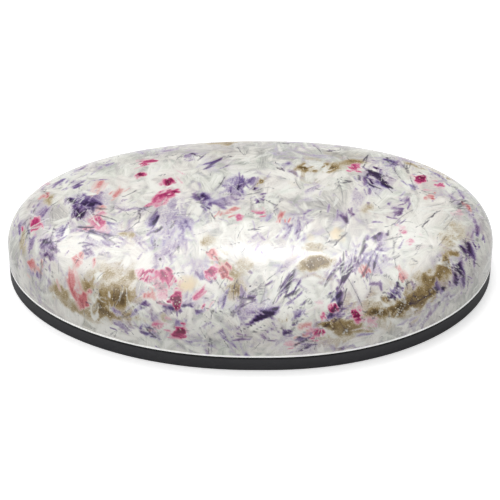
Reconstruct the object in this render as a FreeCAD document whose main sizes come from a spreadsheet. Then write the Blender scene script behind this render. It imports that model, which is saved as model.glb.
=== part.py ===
import FreeCAD, Part
import enum
import math
import os

import Sketcher
from FreeCAD import Placement, Rotation, Vector

# An oval cabochon: a domed stone bonded to a flat backing plate, lying on the plate.
# The origin is the middle of the footprint on the surface it rests on. +X runs along the stone, +Z up.
# The outline is slightly egg-shaped: its widest place lies a little to +X of the middle, so each sub-part
# is drawn about the widest place and then placed at widest_offset.

DRIVING_SIZES = {
    # The outline, seen from above.
    "stone_length": 60.0,
    "stone_width": 32.0,
    "widest_offset": 1.3,
    "straight_run": 2.0,
    # The backing plate and the film of adhesive on it.
    "plate_thickness": 2.6,
    "plate_bevel": 0.12,
    "film_thickness": 0.2,
    # The domed stone, from its foot to its top.
    "crown_height": 9.3,
    "foot_bevel": 0.2,
    "shoulder_radius": 5.0,
    "dome_radius_across": 28.0,
    "dome_radius_along": 210.0,
}

# Sizes that follow from the driving ones.
WORKED_OUT_SIZES = {
    "half_run": "=straight_run / 2",
    "left_reach": "=stone_length / 2 + widest_offset - half_run",
    "right_reach": "=stone_length / 2 - widest_offset - half_run",
    "film_floor": "=plate_thickness",
    "crown_floor": "=plate_thickness + film_thickness",
    "cutter_reach": "=stone_width * 0.6",
}


class Ref(enum.IntEnum):
    """Sketcher's numbers for a curve's points and for the sketch's own origin and axes."""

    START = 1
    END = 2
    CENTRE = 3
    ORIGIN = -1
    LEVEL_AXIS = -1
    UPRIGHT_AXIS = -2


doc = FreeCAD.newDocument("cabochon")


def fill_sheet():
    """Write every size into the spreadsheet, one row each, under its own alias."""
    sheet = doc.addObject("Spreadsheet::Sheet", "sizes")
    named_sizes = {**DRIVING_SIZES, **WORKED_OUT_SIZES}
    for row, (name, value) in enumerate(named_sizes.items(), start=1):
        sheet.set("A%d" % row, name)
        sheet.set("B%d" % row, str(value))
        sheet.setAlias("B%d" % row, name)
    doc.recompute()
    return sheet


sizes = fill_sheet()


def bind(sketch, constraint, name, expression):
    """Add a dimension to a sketch, name it and tie it to the sheet."""
    index = sketch.addConstraint(constraint)
    sketch.renameConstraint(index, name)
    sketch.setExpression("Constraints." + name, expression)


def new_sketch(body, name, role):
    """An empty sketch on the body's own origin plane with that role."""
    plane = next(item for item in body.Origin.OriginFeatures if item.Role == role)
    sketch = body.newObject("Sketcher::SketchObject", name)
    sketch.AttachmentSupport = [(plane, "")]
    sketch.MapMode = "FlatFace"
    return sketch


def add_half_ellipse(sketch, centre_x, reach, start_angle):
    """Half an ellipse as wide as the stone, from start_angle round to the other side of its long axis."""
    ellipse = Part.Ellipse(Vector(centre_x, 0, 0), reach, sizes.stone_width / 2)
    arc = sketch.addGeometry(Part.ArcOfEllipse(ellipse, start_angle, start_angle + math.pi), False)
    sketch.exposeInternalGeometry(arc)
    long_axis = arc + 1
    short_axis = arc + 2
    sketch.addConstraint(Sketcher.Constraint("Horizontal", long_axis))
    return arc, long_axis, short_axis


def draw_outline(body, name):
    """The stone's outline: a longer left end and a shorter right end, joined by a short straight run."""
    sketch = new_sketch(body, name, "XY_Plane")
    half_run = sizes.half_run
    half_width = sizes.stone_width / 2
    left, left_long, left_short = add_half_ellipse(sketch, -half_run, sizes.left_reach, math.pi / 2)
    right, right_long, _ = add_half_ellipse(sketch, half_run, sizes.right_reach, -math.pi / 2)
    back = sketch.addGeometry(
        Part.LineSegment(Vector(-half_run, half_width, 0), Vector(half_run, half_width, 0)), False)
    front = sketch.addGeometry(
        Part.LineSegment(Vector(-half_run, -half_width, 0), Vector(half_run, -half_width, 0)), False)
    sketch.addConstraint([
        Sketcher.Constraint("PointOnObject", left, Ref.CENTRE, Ref.LEVEL_AXIS),
        Sketcher.Constraint("Vertical", left, Ref.CENTRE, left, Ref.START),
        Sketcher.Constraint("Vertical", left, Ref.CENTRE, left, Ref.END),
        Sketcher.Constraint("Vertical", right, Ref.CENTRE, right, Ref.START),
        Sketcher.Constraint("Vertical", right, Ref.CENTRE, right, Ref.END),
        Sketcher.Constraint("Horizontal", back),
        Sketcher.Constraint("Horizontal", front),
        Sketcher.Constraint("Coincident", back, Ref.START, left, Ref.START),
        Sketcher.Constraint("Coincident", back, Ref.END, right, Ref.END),
        Sketcher.Constraint("Coincident", front, Ref.START, left, Ref.END),
        Sketcher.Constraint("Coincident", front, Ref.END, right, Ref.START),
    ])
    bind(sketch, Sketcher.Constraint("DistanceX", left, Ref.CENTRE, Ref.ORIGIN, Ref.START, half_run),
         "left_run", "sizes.half_run")
    bind(sketch, Sketcher.Constraint("DistanceX", Ref.ORIGIN, Ref.START, right, Ref.CENTRE, half_run),
         "right_run", "sizes.half_run")
    bind(sketch, Sketcher.Constraint("Distance", left_short, 2 * half_width), "width",
         "sizes.stone_width")
    bind(sketch, Sketcher.Constraint("Distance", left_long, 2 * sizes.left_reach), "left_long_axis",
         "2 * sizes.left_reach")
    bind(sketch, Sketcher.Constraint("Distance", right_long, 2 * sizes.right_reach), "right_long_axis",
         "2 * sizes.right_reach")
    return sketch


def pad_outline(name, thickness_alias):
    """A flat piece with the stone's outline, as thick as the sheet says."""
    body = doc.addObject("PartDesign::Body", name)
    outline = draw_outline(body, name + "_outline")
    pad = body.newObject("PartDesign::Pad", name + "_pad")
    pad.Profile = outline
    pad.setExpression("Length", "sizes." + thickness_alias)
    doc.recompute()
    return body, pad


def rim_edges(shape, low, high):
    """Names of the edges that lie wholly between two heights."""
    return ["Edge%d" % number for number, edge in enumerate(shape.Edges, start=1)
            if edge.BoundBox.ZMin > low and edge.BoundBox.ZMax < high]


def dress_rim(body, kind, name, base, edges, size_property, size_alias):
    """Bevel or round some edges of the body's latest feature by a size from the sheet."""
    dressing = body.newObject("PartDesign::" + kind, name)
    dressing.Base = (base, edges)
    dressing.setExpression(size_property, "sizes." + size_alias)
    doc.recompute()
    return dressing


def place(body, floor_alias):
    """Stand a piece at its height, with its widest place where the outline is widest."""
    body.Placement = Placement(Vector(0, 0, 0), Rotation())
    body.setExpression("Placement.Base.x", "sizes.widest_offset")
    if floor_alias:
        body.setExpression("Placement.Base.z", "sizes." + floor_alias)
    return body


HAIR = 0.001


def make_backing_plate():
    """The flat backing, bevelled round its lower edge so that it doesn't chip."""
    body, pad = pad_outline("backing_plate", "plate_thickness")
    lower_rim = rim_edges(pad.Shape, -HAIR, HAIR)
    dress_rim(body, "Chamfer", "backing_plate_bevel", pad, lower_rim, "Size", "plate_bevel")
    return place(body, None)


def make_bond_layer():
    """The film of adhesive, ground flush with the backing. The crown's bevelled foot leaves its rim bare."""
    body, _ = pad_outline("bond_layer", "film_thickness")
    return place(body, "film_floor")


def draw_above_dome(body):
    """What is ground away above the dome: a block over the dome's arc across the widest place.

    It turns about a line across the stone, far below it, so that the dome also curves along the stone.
    """
    sketch = new_sketch(body, "crown_above_dome", "YZ_Plane")
    top = sizes.crown_height
    across = sizes.dome_radius_across
    side = sizes.cutter_reach
    brim = top - across + math.sqrt(across ** 2 - side ** 2)
    lid = 2 * top
    tilt = math.asin(side / across)
    circle = Part.Circle(Vector(0, top - across, 0), Vector(0, 0, 1), across)
    arc, right_wall, roof, left_wall = sketch.addGeometry([
        Part.ArcOfCircle(circle, math.pi / 2 - tilt, math.pi / 2 + tilt),
        Part.LineSegment(Vector(side, brim, 0), Vector(side, lid, 0)),
        Part.LineSegment(Vector(side, lid, 0), Vector(-side, lid, 0)),
        Part.LineSegment(Vector(-side, lid, 0), Vector(-side, brim, 0)),
    ], False)
    along = sizes.dome_radius_along
    axis = sketch.addGeometry(
        Part.LineSegment(Vector(-side, top - along, 0), Vector(side, top - along, 0)), True)
    sketch.addConstraint([
        Sketcher.Constraint("PointOnObject", arc, Ref.CENTRE, Ref.UPRIGHT_AXIS),
        Sketcher.Constraint("Coincident", arc, Ref.START, right_wall, Ref.START),
        Sketcher.Constraint("Coincident", right_wall, Ref.END, roof, Ref.START),
        Sketcher.Constraint("Coincident", roof, Ref.END, left_wall, Ref.START),
        Sketcher.Constraint("Coincident", left_wall, Ref.END, arc, Ref.END),
        Sketcher.Constraint("Vertical", right_wall),
        Sketcher.Constraint("Vertical", left_wall),
        Sketcher.Constraint("Horizontal", roof),
        Sketcher.Constraint("Symmetric", arc, Ref.START, arc, Ref.END, Ref.UPRIGHT_AXIS),
        Sketcher.Constraint("Symmetric", axis, Ref.START, axis, Ref.END, Ref.UPRIGHT_AXIS),
    ])
    bind(sketch, Sketcher.Constraint("Radius", arc, across), "across", "sizes.dome_radius_across")
    bind(sketch, Sketcher.Constraint("DistanceY", arc, Ref.CENTRE, Ref.ORIGIN, Ref.START, across - top),
         "arc_centre", "sizes.dome_radius_across - sizes.crown_height")
    bind(sketch, Sketcher.Constraint("DistanceX", Ref.ORIGIN, Ref.START, arc, Ref.START, side), "reach",
         "sizes.cutter_reach")
    bind(sketch, Sketcher.Constraint("DistanceY", Ref.ORIGIN, Ref.START, roof, Ref.START, lid), "lid",
         "2 * sizes.crown_height")
    bind(sketch, Sketcher.Constraint("DistanceY", axis, Ref.START, Ref.ORIGIN, Ref.START, along - top),
         "axis_depth", "sizes.dome_radius_along - sizes.crown_height")
    bind(sketch, Sketcher.Constraint("DistanceX", Ref.ORIGIN, Ref.START, axis, Ref.END, side), "axis_reach",
         "sizes.cutter_reach")
    return sketch


def make_crown():
    """The domed stone: a block of the outline, ground to a dome, then rounded round its shoulder."""
    body, block = pad_outline("crown", "crown_height")
    above = draw_above_dome(body)
    dome = body.newObject("PartDesign::Groove", "crown_dome")
    dome.Profile = above
    dome.ReferenceAxis = (above, ["Axis0"])
    dome.Angle = 360
    doc.recompute()
    if dome.Shape.Volume >= block.Shape.Volume:
        raise RuntimeError("the dome took nothing off the block")
    upper_rim = [name for name in rim_edges(dome.Shape, HAIR, sizes.crown_height)
                 if dome.Shape.getElement(name).BoundBox.ZLength < sizes.crown_height / 2]
    shoulder = dress_rim(body, "Fillet", "crown_shoulder", dome, upper_rim, "Radius", "shoulder_radius")
    lower_rim = rim_edges(shoulder.Shape, -HAIR, HAIR)
    dress_rim(body, "Chamfer", "crown_foot", shoulder, lower_rim, "Size", "foot_bevel")
    return place(body, "crown_floor")


def check_and_export(pieces):
    """Stop on any failed object, then write each piece to its own file."""
    doc.recompute()
    for item in doc.Objects:
        if "Invalid" in item.State or "Error" in item.State:
            raise RuntimeError("%s failed: %s" % (item.Name, item.State))
    for piece in pieces:
        if piece.Shape.isNull() or not piece.Shape.isValid() or len(piece.Shape.Solids) != 1:
            raise RuntimeError("%s is not one valid solid" % piece.Label)
    os.makedirs("parts", exist_ok=True)
    for piece in pieces:
        piece.Shape.exportStep("parts/%s.step" % piece.Label)
        box = piece.Shape.optimalBoundingBox(True, False)
        print("%s: x %.3f to %.3f, y %.3f to %.3f, z %.3f to %.3f, volume %.1f" % (
            piece.Label, box.XMin, box.XMax, box.YMin, box.YMax, box.ZMin, box.ZMax, piece.Shape.Volume))


check_and_export([make_crown(), make_bond_layer(), make_backing_plate()])
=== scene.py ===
import collections
import math

import bpy
import numpy as np
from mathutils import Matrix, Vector


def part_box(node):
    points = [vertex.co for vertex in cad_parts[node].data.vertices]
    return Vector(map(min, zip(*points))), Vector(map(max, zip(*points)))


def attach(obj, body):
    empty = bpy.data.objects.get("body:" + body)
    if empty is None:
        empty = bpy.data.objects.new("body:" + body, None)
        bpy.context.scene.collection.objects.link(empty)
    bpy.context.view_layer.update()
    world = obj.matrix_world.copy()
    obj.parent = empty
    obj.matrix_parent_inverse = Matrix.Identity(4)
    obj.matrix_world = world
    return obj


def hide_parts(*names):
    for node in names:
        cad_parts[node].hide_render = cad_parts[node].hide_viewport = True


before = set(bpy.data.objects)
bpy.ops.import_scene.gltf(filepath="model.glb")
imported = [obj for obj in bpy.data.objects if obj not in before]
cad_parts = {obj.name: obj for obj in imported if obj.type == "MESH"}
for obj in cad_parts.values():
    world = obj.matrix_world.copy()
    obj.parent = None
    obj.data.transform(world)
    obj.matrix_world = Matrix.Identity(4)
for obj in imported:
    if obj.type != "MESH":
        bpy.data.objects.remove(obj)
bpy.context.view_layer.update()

# Sizes. Everything up to the meshes is worked out in millimetres, in the frame's own axes.
MM = 0.001
crown_low, crown_high = (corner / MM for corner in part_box("crown"))
STONE_LENGTH = crown_high.x - crown_low.x
STONE_WIDTH = crown_high.y - crown_low.y
CROWN_FLOOR = crown_low.z
CROWN_TOP = crown_high.z
PLATE_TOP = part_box("backing_plate")[1].z / MM

# Where the stone is widest, half the straight run there, its radii and its bevel.
WIDEST_OFFSET = 1.3
HALF_RUN = 1.0
SHOULDER_RADIUS = 5.0
FOOT_BEVEL = 0.2
DOME_RADIUS_ACROSS = 28.0
DOME_RADIUS_ALONG = 210.0

# Steps in which the outline is looked up, and rounds in which the shoulder's touch is found.
OUTLINE_STEPS = 7200
TOUCH_ROUNDS = 4


# The stone's shape, worked out with arrays of points.

def unit(vectors):
    """Vectors of length 1."""
    return vectors / np.linalg.norm(vectors, axis=1)[:, None]


def walk_outline(steps):
    """Points round the outline and their outward normals, anticlockwise from the right end."""
    half_width = STONE_WIDTH / 2
    right_reach = STONE_LENGTH / 2 - WIDEST_OFFSET - HALF_RUN
    left_reach = STONE_LENGTH / 2 + WIDEST_OFFSET - HALF_RUN
    turn = np.linspace(-math.pi, math.pi, steps, endpoint=False)
    right = np.abs(turn) < math.pi / 2
    reach = np.where(right, right_reach, left_reach)
    centre = WIDEST_OFFSET + np.where(right, HALF_RUN, -HALF_RUN)
    points = np.column_stack([centre + reach * np.cos(turn), half_width * np.sin(turn)])
    return points, unit(np.column_stack([np.cos(turn) / reach, np.sin(turn) / half_width]))


def bearing(points):
    """The direction of points from the widest place, as an angle on the outline drawn round."""
    return np.arctan2(points[:, 1] / STONE_WIDTH, (points[:, 0] - WIDEST_OFFSET) / STONE_LENGTH)


def outline_at(angles):
    """The outline's points and outward normals at given bearings."""
    points, normals = walk_outline(OUTLINE_STEPS)
    known = bearing(points)
    order = np.argsort(known)
    table = np.concatenate([points, normals], axis=1)[order]
    known = known[order]
    columns = [np.interp(angles, known, table[:, i], period=2 * math.pi) for i in range(4)]
    return np.column_stack(columns[:2]), unit(np.column_stack(columns[2:]))


def dome_height(points):
    """Height of the ground dome over points of the plan: an arc across, turned in a wider arc along."""
    across = np.sqrt(DOME_RADIUS_ACROSS ** 2 - points[:, 1] ** 2)
    swing = DOME_RADIUS_ALONG - DOME_RADIUS_ACROSS + across
    return CROWN_TOP - DOME_RADIUS_ALONG + np.sqrt(swing ** 2 - (points[:, 0] - WIDEST_OFFSET) ** 2)


def dome_normal(points):
    """Unit normals of the dome, from its slope over a short step."""
    step = 0.01
    east = dome_height(points + [step, 0]) - dome_height(points - [step, 0])
    north = dome_height(points + [0, step]) - dome_height(points - [0, step])
    return unit(np.column_stack([-east / (2 * step), -north / (2 * step), np.ones(len(points))]))


def roll_shoulder(outline, outward):
    """The ball that rolls between dome and edge: its centres, and where it touches the dome."""
    middle = outline - SHOULDER_RADIUS * outward
    touch = middle.copy()
    for _ in range(TOUCH_ROUNDS):
        normals = dome_normal(touch)
        touch = middle + SHOULDER_RADIUS * normals[:, :2]
    heights = dome_height(touch) - SHOULDER_RADIUS * normals[:, 2]
    return np.column_stack([middle, heights]), np.column_stack([touch, dome_height(touch)]), normals


def square_to_disc(columns, rows):
    """A grid of (radius, bearing) that fills a disc evenly, with its cells in square rings."""
    across, up = np.meshgrid(np.linspace(-1, 1, columns + 1), np.linspace(-1, 1, rows + 1))
    wide = np.abs(across) > np.abs(up)
    safe_across = np.where(across == 0, 1, across)
    safe_up = np.where(up == 0, 1, up)
    side_turn = math.pi / 4 * up / safe_across + np.where(across < 0, math.pi, 0)
    end_turn = math.pi / 2 - math.pi / 4 * across / safe_up + np.where(up < 0, math.pi, 0)
    radius = np.where(wide, np.abs(across), np.abs(up))
    turn = np.where(wide, side_turn, end_turn)
    return radius.ravel(), np.mod(turn.ravel() + math.pi, 2 * math.pi) - math.pi


def rim_walk(columns, rows):
    """Numbers of the grid's outer points, in order round it."""
    width = columns + 1
    front = list(range(columns))
    right = [columns + i * width for i in range(rows)]
    back = [rows * width + i for i in range(columns, 0, -1)]
    left = [i * width for i in range(rows, 0, -1)]
    return front + right + back + left


def shape_crown(columns, rows, shoulder_rows, edge_rows):
    """Points of the crown, the same points spread flat, and its faces.

    The flat spread keeps the dome's plan and unrolls shoulder and edge outwards from it.
    """
    radius, turn = square_to_disc(columns, rows)
    outline, outward = outline_at(turn)
    _, touch, _ = roll_shoulder(outline, outward)
    middle = np.array([WIDEST_OFFSET, 0.0])
    plan = middle + radius[:, None] * (touch[:, :2] - middle)
    points = [np.column_stack([plan, dome_height(plan)])]
    spread = [plan]
    width = columns + 1
    corners = np.arange(columns * rows)
    corners = corners // columns * width + corners % columns
    faces = [np.stack([corners, corners + 1, corners + 1 + width, corners + width], axis=1)]

    rim = np.array(rim_walk(columns, rows))
    outline, outward = outline_at(turn[rim])
    centre, touch, lift = roll_shoulder(outline, outward)
    level = np.column_stack([outward, np.zeros(len(rim))])
    bend = np.arccos(np.sum(level * lift, axis=1))
    for row in range(1, shoulder_rows + 1):
        part = row / shoulder_rows
        swing = np.sin((1 - part) * bend)[:, None] * lift + np.sin(part * bend)[:, None] * level
        swing /= np.sin(bend)[:, None]
        points.append(centre + SHOULDER_RADIUS * swing)
        spread.append(touch[:, :2] + outward * (SHOULDER_RADIUS * bend * part)[:, None])
    shoulder_end = spread[-1]
    edge_drop = centre[:, 2] - CROWN_FLOOR - FOOT_BEVEL
    for row in range(1, edge_rows + 1):
        part = row / edge_rows
        points.append(np.column_stack([outline, centre[:, 2] - part * edge_drop]))
        spread.append(shoulder_end + outward * (part * edge_drop)[:, None])
    edge_end = spread[-1]
    for part in (0.5, 1.0):
        inset = FOOT_BEVEL * (1 - math.cos(part * math.pi / 2))
        drop = FOOT_BEVEL * math.sin(part * math.pi / 2)
        points.append(np.column_stack([outline - inset * outward,
                                       np.full(len(rim), CROWN_FLOOR + FOOT_BEVEL - drop)]))
        spread.append(edge_end + outward * FOOT_BEVEL * part)
    grid_size = width * (rows + 1)
    ring = len(rim)
    previous = rim
    for row in range(shoulder_rows + edge_rows + 2):
        current = grid_size + row * ring + np.arange(ring)
        faces.append(np.stack([previous, current, np.roll(current, -1), np.roll(previous, -1)], axis=1))
        previous = current
    points.append(np.array([[WIDEST_OFFSET, 0.0, CROWN_FLOOR]]))
    spread.append(spread[-1].mean(axis=0)[None])
    hub = np.full(ring, grid_size + (shoulder_rows + edge_rows + 2) * ring)
    underside = np.stack([hub, np.roll(previous, -1), previous], axis=1)
    return np.concatenate(points), np.concatenate(spread), faces, underside


# The stone's pattern. Its minerals are laid down as brush marks on a flat sheet, in amounts from 0 to 1,
# and the sheet is then read off at the crown's points.

CELL = 0.08
SHEET_HALF_LENGTH = 36.5
SHEET_HALF_WIDTH = 21.5
PATTERN_SEED = 11

# How far forward a mark is moved at the dome's top line, and how far from that line it no longer moves.
DOME_SETBACK = 1.75
DOME_HALF_WIDTH = 15.0

# The ring on the sheet where the stone's wall lies, as half its length and half its width.
WALL_RING = (31.0, 17.6)

# How much greyer the stone is painted at its back and ends, partly its own greyer tint there and partly
# painted shade, and where the grey begins and is full.
GREYER_TINT_AND_SHADE = 0.16
GREY_RIGHT = (20.0, 28.0)
GREY_LEFT = (22.0, 29.0)
GREY_BACK = (5.0, 13.0)

# Lightness of the pale shards, how often each is drawn, and how often a shard has a seam.
SHARD_LIGHTS = (1.04, 0.96, 0.86, 0.72)
SHARD_SHARES = (0.42, 0.32, 0.18, 0.08)
SEAM_SHARE = 0.16
SHARD_FORMS = ("leaf", "fan", "spike", "leaf")
SLIVER_FORMS = ("spike", "fan", "leaf")

# Splinters round each wedge, and how often a violet one has a dark edge.
SPLINTERS = 4
EDGE_SHARE = 0.75

MINERALS = ("violet", "pink", "salmon", "brown", "cream", "ink", "chalk")

# What a mark's shape gives over its part of the sheet.
Mark = collections.namedtuple("Mark", "place cover halo side half along thread")


def ease(low, high, value):
    """A smooth step from 0 at low to 1 at high."""
    part = np.clip((value - low) / (high - low), 0, 1)
    return part * part * (3 - 2 * part)


class Sheet:
    """The flat sheet: arrays for the minerals, and for the pale ground's light, warmth and grain."""

    def __init__(self, seed):
        self.chance = np.random.default_rng(seed)
        columns = int(2 * SHEET_HALF_LENGTH / CELL)
        rows = int(2 * SHEET_HALF_WIDTH / CELL)
        self.across = (np.arange(columns) + 0.5) * CELL - SHEET_HALF_LENGTH
        self.up = (np.arange(rows) + 0.5) * CELL - SHEET_HALF_WIDTH
        self.lumps = 0.6 * self.cloud(1.6) + 0.4 * self.cloud(0.6)
        self.stir = ease(0.25, 0.8, 0.6 * self.cloud(6.0) + 0.4 * self.cloud(2.5))
        self.amounts = {name: np.zeros((rows, columns)) for name in MINERALS}
        self.amounts["light"] = 0.5 + 0.35 * self.cloud(4.0) + 0.2 * self.lumps
        self.amounts["warmth"] = self.cloud(5.0)
        self.amounts["turn"] = np.zeros((rows, columns))

    def cloud(self, spacing):
        """Soft random hills about one spacing across, from 0 to 1, over the whole sheet."""
        columns = np.arange(len(self.across)) * CELL / spacing
        rows = np.arange(len(self.up)) * CELL / spacing
        knots = self.chance.random((int(rows[-1]) + 3, int(columns[-1]) + 3))
        left = columns.astype(int)
        low = rows.astype(int)
        right_part = ease(0, 1, columns - left)
        upper_part = ease(0, 1, rows - low)[:, None]
        lines = knots[:, left] * (1 - right_part) + knots[:, left + 1] * right_part
        return lines[low] * (1 - upper_part) + lines[low + 1] * upper_part

    def window(self, x, y, reach, tilt=0):
        """The part of the sheet within reach of a point, as slices and offsets along a tilt and across."""
        columns = slice(*np.searchsorted(self.across, (x - reach, x + reach)))
        rows = slice(*np.searchsorted(self.up, (y - reach, y + reach)))
        east, north = np.meshgrid(self.across[columns] - x, self.up[rows] - y)
        turn = math.radians(tilt)
        along = east * math.cos(turn) + north * math.sin(turn)
        across = -east * math.sin(turn) + north * math.cos(turn)
        return (rows, columns), along, across

    def spot(self):
        """A random place on the sheet."""
        return (self.chance.uniform(-SHEET_HALF_LENGTH, SHEET_HALF_LENGTH),
                self.chance.uniform(-SHEET_HALF_WIDTH, SHEET_HALF_WIDTH))

    def threads(self, along_which, spacing, reach):
        """Random streaks: a value that varies with one coordinate only, about once each spacing."""
        count = int(2 * reach / spacing) + 3
        return np.interp(along_which, (np.arange(count) - count / 2) * spacing, self.chance.random(count))

    def blend(self, name, place, amount, mask):
        """Lay an amount over what an array holds, as far as the mask covers it."""
        field = self.amounts[name]
        field[place] = field[place] * (1 - mask) + amount * mask

    def deepen(self, name, place, amount):
        """Raise an array to an amount where it holds less."""
        field = self.amounts[name]
        field[place] = np.maximum(field[place], amount)

    def clear(self, place, mask, kept=()):
        """Thin out the minerals under a mask."""
        for name in MINERALS:
            if name not in kept:
                self.amounts[name][place] *= 1 - mask

    def read(self, name, spots):
        """An array's values at given points of the sheet, evenly between its cells."""
        field = self.amounts[name]
        column = np.clip((spots[:, 0] - self.across[0]) / CELL, 0, field.shape[1] - 1.001)
        row = np.clip((spots[:, 1] - self.up[0]) / CELL, 0, field.shape[0] - 1.001)
        left = column.astype(int)
        low = row.astype(int)
        right_part = column - left
        upper_part = row - low
        lower = field[low, left] * (1 - right_part) + field[low, left + 1] * right_part
        upper = field[low + 1, left] * (1 - right_part) + field[low + 1, left + 1] * right_part
        return lower * (1 - upper_part) + upper * upper_part


def blade(sheet, x, y, length, width, tilt, form, ragged, soft, bend):
    """A bundle of straight fibres: the part it covers, a halo round it, its sides and its threads."""
    place, along, across = sheet.window(x, y, 0.5 * math.hypot(length, width) + 0.5, tilt)
    along = along / length + 0.5
    across = across + bend * length * (along - 0.5) ** 2
    thread = 0.6 * sheet.threads(across, 0.28, length) + 0.4 * sheet.threads(across, 0.14, length)
    inner = np.clip(along, 0.001, 0.999)
    if form == "leaf":
        half = width / 2 * np.sin(math.pi * inner) ** 0.6
    elif form == "fan":
        half = width / 2 * (0.12 + 0.88 * inner)
    elif form == "strip":
        half = np.full_like(inner, width / 2)
    else:
        half = width / 2 * (1 - inner) ** 0.8 + 0.02
    side = across / half
    cover = ease(0, soft, 1 - np.abs(side) + 0.3 * (thread - 0.5))
    cover *= ease(0, 0.1, along - 0.4 * ragged * (1 - thread)) * ease(0, 0.14, 1 - ragged * thread - along)
    halo = ease(0.5, 0.0, (np.abs(side) - 1) * half) * ease(-0.1, 0.1, along) * ease(1.05, 0.85, along)
    return Mark(place, cover, halo, side, half, np.clip(along, 0, 1), thread)


def lay_shard(sheet, mark, tilt, light, warmth, cover, shade, seam, violet):
    """A pale shard over what is there, perhaps with a seam. Shade is painted with it: a painted shadow
    darkens the stone under one side of the shard and tints it violet, and the shard is painted darker
    towards that side.
    """
    place = mark.place
    deep_side = mark.side * sheet.chance.choice([-1, 1])
    # Painted shadow: the stone under one side of the shard is darkened and given a violet tint.
    painted_shadow = mark.halo * ease(-0.3, 0.9, deep_side) * (0.25 + 0.75 * sheet.stir[place])
    sheet.amounts["light"][place] *= 1 - 0.7 * shade * painted_shadow
    sheet.amounts["violet"][place] += 0.65 * shade * painted_shadow * sheet.stir[place]
    mask = cover * mark.cover
    sheet.clear(place, mask)
    # The shard's tone is painted darker towards its shaded side, as painted shade.
    tone = light + 0.26 * (mark.thread - 0.6) - 0.1 * ease(0.2, 1.0, deep_side)
    sheet.blend("light", place, tone, mask)
    sheet.blend("warmth", place, warmth, mask)
    sheet.blend("turn", place, math.radians(tilt), ease(0.2, 0.5, mask))
    if violet:
        sheet.blend("violet", place, violet * (0.45 + 0.55 * np.clip(deep_side, -1, 1)
                                               + 0.5 * (mark.thread - 0.5)), mask)
    if seam:
        line = ease(0.15, 0.0, np.abs(deep_side - 0.95) * mark.half) * mark.halo
        sheet.deepen("ink", place, seam * line * (0.4 + 0.8 * mark.thread))


def ahead(x, y, tilt, distance):
    """The place at a distance from another, in a direction in degrees."""
    return x + distance * math.cos(math.radians(tilt)), y + distance * math.sin(math.radians(tilt))


def lay_burst(sheet, x, y, heading, size, count, fan, light, cover, shade, violet=0.0):
    """Shards that spring from one point in a fan."""
    chance = sheet.chance
    draw = chance.uniform
    warmth = draw(0.1, 0.9)
    for turn in np.linspace(-0.5, 0.5, count) * fan:
        tilt = heading + turn + draw(-8, 8)
        length = size * draw(0.55, 1.2)
        width = max(0.3, length * draw(0.18, 0.42))
        out = length * draw(0.4, 0.6)
        mark = blade(sheet, *ahead(x, y, tilt, out), length, width, tilt, chance.choice(SHARD_FORMS),
                     draw(0.1, 0.8), draw(0.12, 0.6), draw(-0.3, 0.3))
        seam = draw(0.5, 1.0) if chance.random() < SEAM_SHARE else 0.0
        lay_shard(sheet, mark, tilt, light + draw(-0.08, 0.08), warmth, cover * draw(0.6, 1.0),
                  shade * draw(0.2, 1.3), seam, violet * draw(0.3, 1.2))


def lay_bursts(sheet, count, sizes, cover, shade, tinted):
    """Many bursts at random, most of them white, some grey and some tinted violet."""
    chance = sheet.chance
    draw = chance.uniform
    for _ in range(count):
        x, y = sheet.spot()
        light = chance.choice(SHARD_LIGHTS, p=SHARD_SHARES)
        violet = 0.0
        if chance.random() < tinted:
            violet = draw(0.15, 0.6)
        lay_burst(sheet, x, y, draw(0, 360), draw(*sizes), chance.integers(2, 8), draw(15, 110),
                  light, cover, shade, violet)


def lay_haze(sheet, mineral, marks, amount):
    """A faint cloud of a mineral round each of its marks."""
    for x, y, length, _, _, strength in marks:
        place, east, north = sheet.window(x, y, 1.3 * length)
        away = np.hypot(east, north) / (0.75 * length + 0.5)
        haze = amount * strength * ease(1.3, 0.2, away + 0.7 * (sheet.lumps[place] - 0.5))
        sheet.deepen(mineral, place, haze)


def lay_blades(sheet, mineral, marks, form, widen, soft):
    """Wedges of one mineral with splinters round them, deepest along one side and at the root."""
    chance = sheet.chance
    draw = chance.uniform
    for x, y, length, width, tilt, strength in marks:
        pieces = [(x, y, length * 1.1, width * widen, tilt + 180 * chance.integers(2), strength)]
        for _ in range(SPLINTERS):
            pieces.append((x + draw(-0.45, 0.45) * length, y + draw(-0.45, 0.45) * length,
                           length * draw(0.35, 0.8), width * draw(0.3, 0.9),
                           tilt + draw(-28, 28), strength * draw(0.6, 1.15)))
        for px, py, long, wide, lean, deep in pieces:
            mark = blade(sheet, px, py, long, wide, lean, form, 0.5, soft, draw(-0.3, 0.3))
            deep_side = np.clip(mark.side * chance.choice([-1, 1]), -1, 1)
            amount = deep * (0.95 + 0.5 * deep_side + 0.6 * (mark.thread - 0.5)) * (1.25 - 0.5 * mark.along)
            veil = mark.cover * ease(-1.1, 0.1, deep_side + 0.8 * (mark.thread - 0.4))
            sheet.clear(mark.place, 0.8 * veil, kept=(mineral, "ink"))
            sheet.blend(mineral, mark.place, amount, veil)
            sheet.blend("turn", mark.place, math.radians(lean), ease(0.2, 0.5, mark.cover))
            if mineral == "violet" and chance.random() < EDGE_SHARE:
                line = ease(0.13, 0.0, np.abs(deep_side - 0.9) * mark.half) * mark.halo
                sheet.deepen("ink", mark.place, deep * line * (0.5 + mark.thread))


def lay_slivers(sheet, mineral, marks, each, stray, deepest):
    """Thin splinters of a mineral, scattered round its marks."""
    chance = sheet.chance
    draw = chance.uniform
    for x, y, _, _, tilt, strength in marks:
        for _ in range(each):
            lean = tilt + chance.normal(0, 30)
            mark = blade(sheet, x + chance.normal(0, stray), y + chance.normal(0, stray),
                         draw(1.2, 3.6), draw(0.3, 0.7), lean, chance.choice(SLIVER_FORMS),
                         0.6, 0.8, draw(-0.3, 0.3))
            amount = deepest * (0.4 + 0.6 * strength) * draw(0.3, 1.0)
            sheet.blend(mineral, mark.place, amount * (1.1 - 0.8 * mark.along), mark.cover)


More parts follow.
